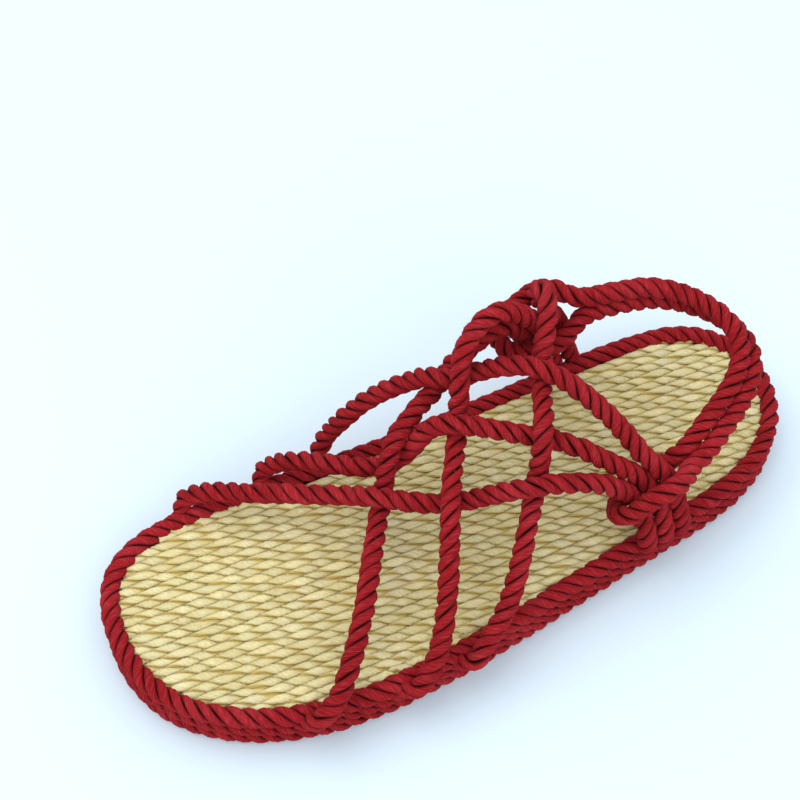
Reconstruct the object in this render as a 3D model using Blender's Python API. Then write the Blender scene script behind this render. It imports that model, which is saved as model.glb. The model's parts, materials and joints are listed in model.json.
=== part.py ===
"""A rope sandal for the left foot: a cord mat edged with three rounds of rope, a laced net of rope
over the foot, and a doubled loop of rope behind the heel.

Lengths below are in millimetres until they reach a mesh. Across is +X, towards the inner side of
the foot, along is +Y, towards the toe, and up is +Z, from the floor.
"""

import math
from typing import NamedTuple

import bmesh
import bpy
import numpy as np

MM = 0.001
GAP = 0.3

# Ropes
ROPE_RADIUS = 3.85
ROPE_SIDES = 8
TOUCH = 7.0
CLEAR = 2 * ROPE_RADIUS + GAP + 0.15
ROUTE_STEP = 1.5

# The rim: three ropes pressed a little flat, one on another
RIM_HALF_WIDTH = 3.75
RIM_HALF_HEIGHT = 3.2
RIM_PITCH = 2 * RIM_HALF_HEIGHT + GAP
RIM_LEVELS = tuple(RIM_HALF_HEIGHT + row * RIM_PITCH for row in range(3))
UPPER_GROOVE = (RIM_LEVELS[1] + RIM_LEVELS[2]) / 2
LOWER_GROOVE = (RIM_LEVELS[0] + RIM_LEVELS[1]) / 2

# The mat
MAT_TOP = 17.6
MAT_SPLIT = 8.0
CORD_PITCH = 3.79
CORD_ROWS = 25
CORD_CREASE = 1.1
CORD_FACETS = 3

# How finely the solids follow the routes
SAG = 0.14
SHORTEST = 2.4
LONGEST_ROPE = 7.5
LONGEST_RIM = 13.0
SETTLE_ROUNDS = 60


class RimPoint(NamedTuple):
    """A point on the centre line of the rim, seen from above."""

    across: float
    along: float


class Hold(NamedTuple):
    """A point that the centre line of a rope passes through."""

    across: float
    along: float
    up: float


class PairRow(NamedTuple):
    """Where the two legs of the heel strap lie beside each other.

    half_spread is from their middle to either centre line. turn is the lower leg's direction from
    that middle: 0 is outwards, 90 is up.
    """

    across: float
    along: float
    up: float
    half_spread: float
    turn: float


class Tuck(NamedTuple):
    """A point of a rope that goes round the rim, measured outwards and along from its groove."""

    out: float
    shift: float
    up: float


RIM_LINE = (
    RimPoint(12, 131.5), RimPoint(29, 128), RimPoint(40, 117.5), RimPoint(45, 98),
    RimPoint(45, 72), RimPoint(42.8, 30), RimPoint(42, 0), RimPoint(42.6, -45),
    RimPoint(43, -85), RimPoint(38.5, -113), RimPoint(28, -126), RimPoint(12, -131.2),
    RimPoint(-6, -126.5), RimPoint(-19.5, -114), RimPoint(-28.5, -92), RimPoint(-33.5, -60),
    RimPoint(-38, -28), RimPoint(-43, 8), RimPoint(-46, 42), RimPoint(-45, 72),
    RimPoint(-37.5, 98), RimPoint(-24, 118), RimPoint(-7, 128.8),
)

# A strap leaves the rim from the groove under the top rope, and climbs over it.
RISE = (
    Tuck(-0.5, -2.2, UPPER_GROOVE),
    Tuck(2.9, -0.9, UPPER_GROOVE + 0.4),
    Tuck(4.9, 0.8, 18.6),
)
# It ends over the other side of the rim, in the groove over the bottom rope.
DROP = (
    Tuck(5.4, 1.0, 18.0),
    Tuck(5.1, 0.5, 11.5),
    Tuck(2.9, 0.1, LOWER_GROOVE),
    Tuck(-1.0, 0.0, LOWER_GROOVE),
)
INNER, OUTER = 1, -1


class Strap(NamedTuple):
    """One run of rope of the net: the side it starts from, where, how far it leans, and its route."""

    side: int
    start_along: float
    start_lean: float
    end_along: float
    end_lean: float
    route: tuple


NET = (
    Strap(INNER, 93, -2.5, -54.7, 1.5, (
        Hold(48.5, 86.5, 25.5), Hold(40, 75, 31), Hold(31.5, 63, 35), Hold(20.5, 47.5, 40),
        Hold(9.3, 32.5, 45), Hold(-1, 18, 46), Hold(-4.2, 10, 45.6), Hold(-9, 0, 50),
        Hold(-16, -15.5, 56.8), Hold(-20.5, -29, 56.5), Hold(-23.8, -41.5, 51),
        Hold(-27.6, -51.2, 42.3), Hold(-33.3, -52.4, 34.5), Hold(-38, -53, 26),
    )),
    Strap(INNER, 62, -2.5, -61.7, 1.5, (
        Hold(47.5, 56.5, 26), Hold(38.5, 46, 34.5), Hold(30.5, 38, 38.5), Hold(23, 28, 41),
        Hold(20, 20, 43.5), Hold(19.6, 14, 50.5), Hold(18.8, 7, 60), Hold(13.1, -0.7, 65.2),
        Hold(6.6, -11, 64.5), Hold(0.5, -21, 62), Hold(-2, -25.5, 61.5), Hold(-6.5, -31, 61.5),
        Hold(-14, -40, 58), Hold(-20.8, -48.5, 51.5), Hold(-27.6, -56.4, 41.6),
        Hold(-33.8, -59.3, 34), Hold(-38.4, -60.1, 26),
    )),
    Strap(INNER, 40, -2.5, -68.8, 1.5, (
        Hold(49.5, 35, 26), Hold(48, 30, 35), Hold(46.5, 23, 44), Hold(43, 12, 54),
        Hold(36, 0, 63), Hold(32, -4.5, 65.6), Hold(30, -9, 66.2), Hold(28.5, -14.5, 67.5),
        Hold(25.5, -20, 71), Hold(20.5, -26.5, 75.5), Hold(14.5, -33, 77.2), Hold(8.5, -38.8, 75),
        Hold(1.5, -45, 69.5), Hold(-6, -50.3, 63.8), Hold(-14.3, -54.8, 57.5), Hold(-21, -57.2, 51.5),
        Hold(-26.8, -60.2, 45.5), Hold(-33, -65, 35.5), Hold(-37.6, -67, 26),
    )),
    Strap(OUTER, 82, -2.8, -56, 1.5, (
        Hold(-47.5, 74.5, 25), Hold(-41, 66.5, 30.5), Hold(-29.5, 56.5, 35), Hold(-17.5, 48, 37),
        Hold(-4, 39.5, 38), Hold(10, 30, 41), Hold(16.5, 25, 49), Hold(20.3, 21.3, 52.5),
        Hold(27.5, 10.5, 56), Hold(33, -0.5, 59), Hold(35, -8.6, 65), Hold(36, -15.2, 69.5),
        Hold(37.3, -21, 73), Hold(37.8, -26, 75), Hold(38, -31, 74.5), Hold(38.3, -35.3, 70.5),
        Hold(39.3, -39, 63.5), Hold(41.5, -42.8, 54), Hold(45, -46, 43), Hold(49, -50, 30),
    )),
    Strap(OUTER, 47, -3.2, -63, 1.5, (
        Hold(-49.5, 38.5, 25), Hold(-43, 32, 31), Hold(-33.5, 25.5, 38), Hold(-20.5, 18.5, 47),
        Hold(-8.3, 12.3, 53), Hold(1, 7, 55), Hold(9.5, 1.5, 57), Hold(15, -1.8, 58),
        Hold(20, -4.5, 62), Hold(24.5, -6.5, 69), Hold(28.5, -9, 74.8), Hold(33.5, -13.5, 79),
        Hold(36.7, -19.5, 82.3), Hold(38, -25.5, 84.3), Hold(37.8, -31.3, 83.2),
        Hold(36.8, -36.8, 79), Hold(36.6, -41.2, 72), Hold(39, -46.3, 63), Hold(42.3, -50, 52.5),
        Hold(46, -53.5, 41.5), Hold(49, -57, 30),
    )),
    Strap(OUTER, 24, -3.8, -70.5, 1.5, (
        Hold(-46.8, 14, 25), Hold(-41.5, 5.5, 32.5), Hold(-34, -2, 41), Hold(-24, -10, 47.5),
        Hold(-14, -17.8, 51), Hold(-8, -22.3, 60), Hold(-3, -25.5, 68.5), Hold(5.6, -29.5, 69.5),
        Hold(13.6, -33.3, 69.3), Hold(20, -36.8, 70), Hold(26, -40.5, 73), Hold(31.5, -44.5, 77),
        Hold(35.4, -46.8, 80.6), Hold(40, -47.5, 83.2), Hold(44.2, -46.6, 80),
        Hold(43.8, -48, 72.5), Hold(41.6, -52.2, 64.5), Hold(41, -56.2, 56.5),
        Hold(43, -59, 49), Hold(46, -61, 41.5), Hold(49, -64.5, 30),
    )),
)

HEEL_PAIR = (
    PairRow(-29.4, -54.6, 43, 8.6, 50), PairRow(-28.4, -60.8, 44, 7.8, 48),
    PairRow(-26.2, -66.8, 46, 5, 25),
    PairRow(-25.2, -73.8, 48.5, 4.1, -5), PairRow(-22, -82, 51, 3.9, -15),
    PairRow(-16.8, -92, 53.5, 3.9, -25), PairRow(-12, -100.7, 56, 3.9, -32),
    PairRow(-5.2, -108, 58, 3.9, -40), PairRow(3, -111.6, 59.6, 3.9, -50),
    PairRow(12.4, -110.5, 61.2, 3.9, -60), PairRow(22.6, -104.2, 62.8, 3.9, -75),
    PairRow(31, -94.5, 64.2, 3.9, -88), PairRow(35, -84, 65.2, 3.9, -98),
    PairRow(37, -70.2, 66, 3.9, -108), PairRow(38.2, -61.3, 66, 5.2, -122),
    PairRow(39.3, -52.5, 64.3, 9, -140), PairRow(40, -41, 63, 9, -142),
)
OUTER_BIGHT = Hold(-28.2, -48.6, 38)
INNER_BIGHT = Hold(40.5, -31, 62.5)
HEEL_MIDDLE = (5.0, -70.0)

RED = (0.36, 0.018, 0.028, 1.0)
STRAW = (0.72, 0.58, 0.25, 1.0)


def clear_scene():
    """Removes every object, so that only the sandal is left."""
    for old in list(bpy.data.objects):
        bpy.data.objects.remove(old, do_unlink=True)


def cloth_material(name, colour):
    """A matt fibre material."""
    material = bpy.data.materials.new(name)
    material.use_nodes = True
    shader = material.node_tree.nodes["Principled BSDF"]
    shader.inputs["Base Color"].default_value = colour
    shader.inputs["Roughness"].default_value = 0.85
    shader.inputs["Metallic"].default_value = 0.0
    return material


def spline_bends(points, gaps, closed):
    """The second derivatives of a cubic spline through the points, spaced by the gaps."""
    slopes = np.diff(points, axis=0) / gaps[:, None]
    count = len(gaps)
    if closed:
        rows = np.zeros((count, count))
        right = np.zeros((count, 3))
        for i in range(count):
            before, after = gaps[i - 1], gaps[i]
            rows[i, i - 1] += before
            rows[i, i] += 2 * (before + after)
            rows[i, (i + 1) % count] += after
            right[i] = 6 * (slopes[i] - slopes[i - 1])
        bends = np.linalg.solve(rows, right)
        return np.vstack([bends, bends[:1]])
    rows = np.eye(count + 1)
    right = np.zeros((count + 1, 3))
    for i in range(1, count):
        before, after = gaps[i - 1], gaps[i]
        rows[i, i - 1 : i + 2] = before, 2 * (before + after), after
        right[i] = 6 * (slopes[i] - slopes[i - 1])
    return np.linalg.solve(rows, right)


def respace(path, step, closed=False):
    """The path again, with its points evenly spaced about one step apart."""
    if closed:
        path = np.vstack([path, path[:1]])
    run = np.r_[0, np.cumsum(np.linalg.norm(np.diff(path, axis=0), axis=1))]
    count = max(8, round(run[-1] / step))
    at = np.linspace(0, run[-1], count + 1)
    even = np.stack([np.interp(at, run, path[:, axis]) for axis in range(3)], axis=1)
    return even[:-1] if closed else even


def smooth_route(holds, closed=False, step=ROUTE_STEP):
    """A smooth curve through the holds, as evenly spaced points."""
    points = np.array(holds, float)
    if closed:
        points = np.vstack([points, points[:1]])
    gaps = np.sqrt(np.linalg.norm(np.diff(points, axis=0), axis=1))
    bends = spline_bends(points, gaps, closed)
    u = np.linspace(0, 1, 40, endpoint=False)[:, None]
    w = 1 - u
    pieces = []
    for i, gap in enumerate(gaps):
        straight = w * points[i] + u * points[i + 1]
        curve = (w**3 - w) * bends[i] + (u**3 - u) * bends[i + 1]
        pieces.append(straight + gap**2 / 6 * curve)
    return respace(np.vstack(pieces + [points[-1:]]), step)[: -1 if closed else None]


def rim_route(level):
    """The centre line of the rim rope at this height."""
    return smooth_route([(p.across, p.along, level) for p in RIM_LINE], True)


def stations(path, closed, longest):
    """Fewer points on the path, closer together where it bends, so that no chord sags by more
    than about SAG."""
    if closed:
        before, after = np.roll(path, 1, axis=0), np.roll(path, -1, axis=0)
    else:
        padded = np.vstack([2 * path[:1] - path[1:2], path, 2 * path[-1:] - path[-2:-1]])
        before, after = padded[:-2], padded[2:]
    bend = np.linalg.norm(before + after - 2 * path, axis=1) / ROUTE_STEP**2
    bend = ease(ease(bend[:, None], closed, 0.5), closed, 0.5)[:, 0]
    spacing = np.clip(np.sqrt(8 * SAG / np.maximum(bend, 1e-6)), SHORTEST, longest)
    if closed:
        path = np.vstack([path, path[:1]])
        spacing = np.append(spacing, spacing[:1])
    length = np.linalg.norm(np.diff(path, axis=0), axis=1)
    share = np.r_[0, np.cumsum(length * (1 / spacing[:-1] + 1 / spacing[1:]) / 2)]
    at = np.linspace(0, share[-1], math.ceil(share[-1]) + 1)
    picked = np.stack([np.interp(at, share, path[:, axis]) for axis in range(3)], axis=1)
    return picked[:-1] if closed else picked


def rim_across(along, side):
    """How far across the rim's centre line is, on one side, at this place along the shoe."""
    line = rim_route(0.0)
    line = line[line[:, 0] * side > 15]
    return line[np.abs(line[:, 1] - along).argmin(), 0]


def strap_holds(strap):
    """All the holds of a strap: out of its groove, over the foot, and into the other groove."""
    start = rim_across(strap.start_along, strap.side)
    ending = -strap.side if strap.side == INNER else INNER
    end = rim_across(strap.end_along, ending)
    rise = [
        Hold(start + strap.side * t.out, strap.start_along + strap.start_lean * t.shift, t.up)
        for t in RISE
    ]
    drop = [
        Hold(end + ending * t.out, strap.end_along + strap.end_lean * t.shift, t.up) for t in DROP
    ]
    return rise + list(strap.route) + drop


def heel_holds():
    """The holds of the heel strap's one closed loop: lower leg, inner bight, upper leg, outer bight."""
    rows = np.array(HEEL_PAIR, float)
    middle = rows[:, :3]
    tangent = np.gradient(middle, axis=0)
    tangent /= np.linalg.norm(tangent, axis=1)[:, None]
    outward = np.stack([tangent[:, 1], -tangent[:, 0], 0 * tangent[:, 0]], axis=1)
    outward /= np.linalg.norm(outward, axis=1)[:, None]
    away = ((middle[:, :2] - HEEL_MIDDLE) * outward[:, :2]).sum(axis=1)
    outward *= np.sign(away)[:, None]
    upward = np.cross(tangent, outward)
    upward *= np.sign(upward[:, 2])[:, None]
    turn = np.radians(rows[:, 4])[:, None]
    offset = rows[:, 3:4] * (np.cos(turn) * outward + np.sin(turn) * upward)
    return np.vstack([middle + offset, [INNER_BIGHT], (middle - offset)[::-1], [OUTER_BIGHT]])


def push(path, other, wanted, own=False):
    """How far each point of the path moves to lie the wanted distance from the other path."""
    apart = path[:, None] - other[None]
    far = np.linalg.norm(apart, axis=2)
    if own:
        steps = np.abs(np.subtract.outer(np.arange(len(path)), np.arange(len(path))))
        steps = np.minimum(steps, len(path) - steps)
        far[steps * ROUTE_STEP < 18] = wanted
    nearest = far.argmin(axis=1)
    here = np.arange(len(path))
    distance = np.maximum(far[here, nearest], 1e-6)
    short = np.clip(wanted - distance, 0, None)
    return (short / distance)[:, None] * apart[here, nearest]


def ease(values, closed, weight):
    """Blends each row with its two neighbours."""
    if closed:
        around = (np.roll(values, 1, axis=0) + np.roll(values, -1, axis=0)) / 2
    else:
        padded = np.vstack([values[:1], values, values[-1:]])
        around = (padded[:-2] + padded[2:]) / 2
    return values + weight * (around - values)


def settle(straps, heel, rim):
    """Moves ropes that would share space apart, until they only press on each other.

    Straps of the net press into each other by a little, and keep clear of the heel strap. Their
    ends stay in the rim's grooves.
    """
    paths = list(straps) + [heel]
    last = len(paths) - 1
    rim_ropes = [rim + np.array((0.0, 0.0, level)) for level in RIM_LEVELS]
    for _ in range(SETTLE_ROUNDS):
        moves = [np.zeros_like(path) for path in paths]
        for i in range(len(paths)):
            for j in range(i + 1, len(paths)):
                wanted = CLEAR if j == last else TOUCH
                moves[i] += 0.5 * push(paths[i], paths[j], wanted)
                moves[j] += 0.5 * push(paths[j], paths[i], wanted)
        moves[last] += 0.5 * push(paths[last], paths[last], CLEAR, own=True)
        for i in range(last):
            run = np.arange(len(paths[i])) * ROUTE_STEP
            free = np.clip((run - 9) / 6, 0, 1) * np.clip((run[::-1] - 16) / 6, 0, 1)
            for rope in rim_ropes:
                moves[i] += free[:, None] * push(paths[i], rope, TOUCH)
        for i, path in enumerate(paths):
            closed = i == last
            move = moves[i]
            for _ in range(3):
                move = ease(move, closed, 0.5)
            moved = ease(path + move, closed, 0.1)
            if not closed:
                moved[[0, -1]] = path[[0, -1]]
            paths[i] = moved
    return paths[:-1], paths[-1]


def carried_frames(path, closed):
    """A side direction and an up direction at each point, carried along without twisting."""
    if closed:
        tangent = np.roll(path, -1, axis=0) - np.roll(path, 1, axis=0)
    else:
        tangent = np.gradient(path, axis=0)
    tangent /= np.linalg.norm(tangent, axis=1)[:, None]
    side = np.cross(tangent[0], (0.0, 0.0, 1.0))
    if np.linalg.norm(side) < 0.2:
        side = np.cross(tangent[0], (0.0, 1.0, 0.0))
    sides = []
    for direction in tangent:
        side = side - direction * side.dot(direction)
        side = side / np.linalg.norm(side)
        sides.append(side)
    sides = np.array(sides)
    ups = np.cross(sides, tangent)
    if not closed:
        return sides, ups
    back = sides[-1] - tangent[0] * sides[-1].dot(tangent[0])
    miss = math.atan2(back.dot(ups[0]), back.dot(sides[0]))
    turn = -miss * np.arange(len(path))[:, None] / len(path)
    return sides * np.cos(turn) + ups * np.sin(turn), ups * np.cos(turn) - sides * np.sin(turn)


def rope_mesh(name, path, sides, ups, half_width, half_height, closed):
    """An eight-sided rope along the path, as a mesh in metres."""
    angles = (np.arange(ROPE_SIDES) + 0.5) * 2 * math.pi / ROPE_SIDES
    built = bmesh.new()
    rings = []
    for point, side, up in zip(path, sides, ups):
        ring = []
        for angle in angles:
            corner = point + side * half_width * math.cos(angle) + up * half_height * math.sin(angle)
            ring.append(built.verts.new(corner * MM))
        rings.append(ring)
    pairs = list(zip(rings, rings[1:]))
    if closed:
        pairs.append((rings[-1], rings[0]))
    for near, far in pairs:
        for k in range(ROPE_SIDES):
            n = (k + 1) % ROPE_SIDES
            built.faces.new((near[k], near[n], far[n], far[k]))
    if not closed:
        built.faces.new(rings[0])
        built.faces.new(rings[-1])
    bmesh.ops.recalc_face_normals(built, faces=built.faces)
    mesh = bpy.data.meshes.new(name)
    built.to_mesh(mesh)
    built.free()
    return mesh


def add_object(name, mesh, material=None):
    """A visible object for a finished piece, or a hidden one for a cutter when it has no material."""
    made = bpy.data.objects.new(name, mesh)
    bpy.context.scene.collection.objects.link(made)
    if material is None:
        made.hide_render = True
        made.display_type = "WIRE"
    else:
        mesh.materials.append(material)
    return made


def add_boolean(target, other, operation):
    """A Boolean modifier with the exact solver."""
    cut = target.modifiers.new(operation.title(), "BOOLEAN")
    cut.operation = operation
    cut.object = other
    cut.solver = "EXACT"
    return cut


def round_rope(name, path, radius, closed, material=None):
    """A round rope along a route."""
    line = stations(path, closed, LONGEST_ROPE)
    sides, ups = carried_frames(line, closed)
    return add_object(name, rope_mesh(name, line, sides, ups, radius, radius, closed), material)


def build_rim(name, level, cutters, material):
    """One round of the rim, with the notches that the straps lie in."""
    line = stations(rim_route(level), True, LONGEST_RIM)
    tangent = np.roll(line, -1, axis=0) - np.roll(line, 1, axis=0)
    tangent /= np.linalg.norm(tangent, axis=1)[:, None]
    sides = np.cross(tangent, (0.0, 0.0, 1.0))
    ups = np.tile((0.0, 0.0, 1.0), (len(line), 1))
    corner = 1 / math.cos(math.pi / ROPE_SIDES)
    mesh = rope_mesh(
        name, line, sides, ups, RIM_HALF_WIDTH * corner, RIM_HALF_HEIGHT * corner, True
    )
    rim = add_object(name, mesh, material)
    for cutter in cutters:
        add_boolean(rim, cutter, "DIFFERENCE")
    return rim


def mat_outline():
    """The edge of the mat, a gap inside the rim, as points seen from above."""
    line = stations(rim_route(0.0), True, LONGEST_RIM)
    tangent = np.roll(line, -1, axis=0) - np.roll(line, 1, axis=0)
    tangent /= np.linalg.norm(tangent, axis=1)[:, None]
    outward = np.stack([-tangent[:, 1], tangent[:, 0]], axis=1)
    outward *= np.sign((outward * line[:, :2]).sum())
    return line[:, :2] - outward * (RIM_HALF_WIDTH + GAP)


def plate_mesh(name, outline, low, high):
    """A flat plate with this outline between two heights."""
    built = bmesh.new()
    corners = [built.verts.new((x * MM, y * MM, low * MM)) for x, y in outline]
    base = built.faces.new(corners)
    raised = bmesh.ops.extrude_face_region(built, geom=[base])["geom"]
    top = [item for item in raised if isinstance(item, bmesh.types.BMVert)]
    bmesh.ops.translate(built, verts=top, vec=(0, 0, (high - low) * MM))
    bmesh.ops.recalc_face_normals(built, faces=built.faces)
    mesh = bpy.data.meshes.new(name)
    built.to_mesh(mesh)
    built.free()
    return mesh


def ribbed_mesh(name):
    """A slab as wide and long as the mat and more, its top in round ribs, one for each row of cord."""
    width = CORD_ROWS * CORD_PITCH
    length = 2 * max(abs(p.along) for p in RIM_LINE)
    section = []
    for row in range(CORD_ROWS):
        for facet in range(CORD_FACETS):
            part = (facet + 0.5) / CORD_FACETS if facet or row else 0.0
            height = MAT_TOP - CORD_CREASE * (2 * part - 1) ** 2
            section.append(((row + part) * CORD_PITCH - width / 2, height))
    section.append((width / 2, MAT_TOP - CORD_CREASE))
    low = MAT_SPLIT + GAP
    section = [(-width / 2, low)] + section + [(width / 2, low)]
    built = bmesh.new()
    corners = [built.verts.new((x * MM, -length / 2 * MM, z * MM)) for x, z in section]
    base = built.faces.new(corners)
    raised = bmesh.ops.extrude_face_region(built, geom=[base])["geom"]
    far = [item for item in raised if isinstance(item, bmesh.types.BMVert)]
    bmesh.ops.translate(built, verts=far, vec=(0, length * MM, 0))
    bmesh.ops.recalc_face_normals(built, faces=built.faces)
    mesh = bpy.data.meshes.new(name)
    built.to_mesh(mesh)
    built.free()
    return mesh


def build_mat(material):
    """The outsole and the footbed, two layers of the mat inside the rim."""
    outline = mat_outline()
    outsole = add_object("outsole", plate_mesh("outsole", outline, 0.0, MAT_SPLIT), material)
    edge = add_object("mat_edge", plate_mesh("mat_edge", outline, 0.0, MAT_TOP + 5))
    footbed = add_object("footbed", ribbed_mesh("footbed"), material)
    add_boolean(footbed, edge, "INTERSECT")
    return [outsole, footbed]


def build_net(straps, material):
    """The upper: six runs of rope, one solid where they cross and lie side by side."""
    net = round_rope("strap_net", straps[0], ROPE_RADIUS, False, material)
    for number, path in enumerate(straps[1:], start=2):
        run = round_rope(f"net_run_{number}", path, ROPE_RADIUS, False)
        add_boolean(net, run, "UNION")
    return net


def stand_on_origin(pieces):
    """Moves all pieces so that the middle of their box, seen from above, is at the origin."""
    bpy.context.view_layer.update()
    graph = bpy.context.evaluated_depsgraph_get()
    points = []
    for piece in pieces:
        shape = piece.evaluated_get(graph).to_mesh()
        points += [tuple(vertex.co) for vertex in shape.vertices]
        piece.evaluated_get(graph).to_mesh_clear()
    points = np.array(points)
    middle = (points.min(axis=0) + points.max(axis=0)) / 2
    for thing in bpy.data.objects:
        thing.location = (-middle[0], -middle[1], 0.0)


def main():
    """Builds the sandal."""
    clear_scene()
    red = cloth_material("red_rope", RED)
    straw = cloth_material("straw_cord", STRAW)
    routes = [smooth_route(strap_holds(strap)) for strap in NET]
    straps, heel = settle(routes, smooth_route(heel_holds(), True), rim_route(0.0))
    cutters = [
        round_rope(f"notch_{number}", path, ROPE_RADIUS + GAP + 0.05, False)
        for number, path in enumerate(straps, start=1)
    ]
    pieces = [
        build_rim(f"rim_rope_{name}", level, cutters, red)
        for name, level in zip(("bottom", "middle", "top"), RIM_LEVELS)
    ]
    pieces += build_mat(straw)
    pieces.append(build_net(straps, red))
    pieces.append(round_rope("heel_strap", heel, ROPE_RADIUS, True, red))
    stand_on_origin(pieces)


main()
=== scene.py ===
"""Looks of a rope sandal for the left foot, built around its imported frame.

Every rope here is really laid: each strand is a mesh of its own turns, wound round the rope's
route. The rim, the laced net and the heel strap are three-strand red rope. The footbed and the
outsole are rows of two-ply straw cord. Lengths are in millimetres until they reach a mesh.
Across is +X, towards the inner side of the foot, along is +Y, towards the toe, and up is +Z.
"""

import json
import logging
import math
from dataclasses import dataclass
from enum import Enum
from typing import NamedTuple, Optional, Sequence

import bpy
import numpy as np
from mathutils import Matrix, Vector

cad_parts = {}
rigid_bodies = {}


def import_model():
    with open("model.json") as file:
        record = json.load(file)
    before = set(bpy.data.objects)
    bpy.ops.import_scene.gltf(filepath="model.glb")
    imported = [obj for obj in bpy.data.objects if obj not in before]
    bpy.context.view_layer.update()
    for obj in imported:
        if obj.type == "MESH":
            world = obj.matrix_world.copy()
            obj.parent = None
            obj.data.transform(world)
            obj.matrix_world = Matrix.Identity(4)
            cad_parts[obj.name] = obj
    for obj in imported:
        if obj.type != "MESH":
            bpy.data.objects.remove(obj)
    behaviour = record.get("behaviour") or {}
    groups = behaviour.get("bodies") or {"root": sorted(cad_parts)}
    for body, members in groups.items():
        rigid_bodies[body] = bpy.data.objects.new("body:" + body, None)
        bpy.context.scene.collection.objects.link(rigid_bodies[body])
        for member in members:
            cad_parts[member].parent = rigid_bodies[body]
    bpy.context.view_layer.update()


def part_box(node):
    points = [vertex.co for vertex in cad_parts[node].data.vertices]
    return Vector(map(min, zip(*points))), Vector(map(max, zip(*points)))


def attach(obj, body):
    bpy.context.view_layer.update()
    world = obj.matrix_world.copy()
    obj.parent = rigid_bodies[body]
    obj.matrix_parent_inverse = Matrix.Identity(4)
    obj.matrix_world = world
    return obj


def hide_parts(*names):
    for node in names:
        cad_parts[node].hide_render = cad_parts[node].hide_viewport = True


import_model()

LOG = logging.getLogger("rope_sandal")
MM = 0.001
GAP = 0.3

Array = np.ndarray
Material = bpy.types.Material
Socket = bpy.types.NodeSocket
Colour = tuple[float, float, float, float]

# How far apart centre lines lie: where ropes press, where they keep clear, and in the heel pair
ROPE_RADIUS = 3.85
TOUCH = 7.0
CLEAR = 2 * ROPE_RADIUS + GAP + 0.15
PAIR_TOUCH = 6.6

# The heel pair's legs are drawn together by this much at most, and not at all past the end
PULL_LIMIT = 3.0
PULL_END = 14.0
PULL_FADE = 4.0

# How routes are sampled, and how they settle
ROUTE_STEP = 1.5
SPLINE_SAMPLES = 40
LOOP_REACH = 18.0
SETTLE_ROUNDS = 60
MOVE_EASE = 0.5
PATH_EASE = 0.1
START_HELD = 9.0
END_HELD = 16.0
HELD_FADE = 6.0
SIDE_REACH = 15.0

# How unevenly ropes are laid: the waves along one, their share on an open rope, and the swelling
WAVES = (3, 7, 13, 22)
OPEN_SHARE = 0.7
SWELL = 0.05
# How far the pattern of fibres moves from one strand to another
FIBRE_SHIFT = 40.0
# From the seed of a face's rows to that of its edge cord
EDGE_SEED = 50

# The rim: three ropes pressed a little flat, one on another
RIM_HALF_WIDTH = 3.75
RIM_HALF_HEIGHT = 3.2
RIM_PITCH = 2 * RIM_HALF_HEIGHT + GAP
RIM_LEVELS = tuple(RIM_HALF_HEIGHT + row * RIM_PITCH for row in range(3))
UPPER_GROOVE = (RIM_LEVELS[1] + RIM_LEVELS[2]) / 2

# The mat
MAT_TOP = 17.6
ROW_HALF_HEIGHT = 1.8
FOOTBED_LEVEL = MAT_TOP - ROW_HALF_HEIGHT
CORD_PITCH = 3.79
CORD_ROWS = 25


class RimPoint(NamedTuple):
    """A point on the centre line of the rim, seen from above."""

    across: float
    along: float


class Hold(NamedTuple):
    """A point that the centre line of a rope passes through."""

    across: float
    along: float
    up: float


class PairRow(NamedTuple):
    """Where the two legs of the heel strap lie beside each other.

    half_spread is from their middle to either centre line. turn is the lower leg's direction from
    that middle: 0 is outwards, 90 is up.
    """

    across: float
    along: float
    up: float
    half_spread: float
    turn: float


class Tuck(NamedTuple):
    """A point of a rope that goes round the rim, measured outwards and along from its groove."""

    out: float
    shift: float
    up: float


class Side(Enum):
    """A long side of the sole, by the sign of its X."""

    INNER = 1
    OUTER = -1


class Strap(NamedTuple):
    """One run of rope of the net: its side, where and how it leans at its two ends, and its route."""

    side: Side
    start_along: float
    start_lean: float
    end_along: float
    end_lean: float
    route: tuple[Hold, ...]


def table(kind: type, *rows: tuple) -> tuple:
    """A table with named columns: a row of this kind for each of the tuples."""
    return tuple(kind(*row) for row in rows)


RIM_LINE = table(
    RimPoint,
    (12, 131.5), (29, 128), (40, 117.5), (45, 98), (45, 72), (42.8, 30), (42, 0), (42.6, -45),
    (43, -85), (38.5, -113), (28, -126), (12, -131.2), (-6, -126.5), (-19.5, -114), (-28.5, -92),
    (-33.5, -60), (-38, -28), (-43, 8), (-46, 42), (-45, 72), (-37.5, 98), (-24, 118), (-7, 128.8),
)

# A strap leaves the rim from the groove under the top rope, and climbs over it. Its ends are
# pressed nearer to the rim than the plain solids are.
RISE = (
    Tuck(-0.5, -2.2, UPPER_GROOVE + 0.3),
    Tuck(1.9, -0.9, UPPER_GROOVE + 1.5),
    Tuck(3.2, 0.8, 18.9),
)
# It ends over the other side of the rim, in the groove over the bottom rope.
DROP = (
    Tuck(3.9, 1.0, 18.6),
    Tuck(3.3, 0.5, 14.0),
    Tuck(1.4, 0.1, 10.6),
    Tuck(-1.0, 0.0, 8.6),
)

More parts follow.
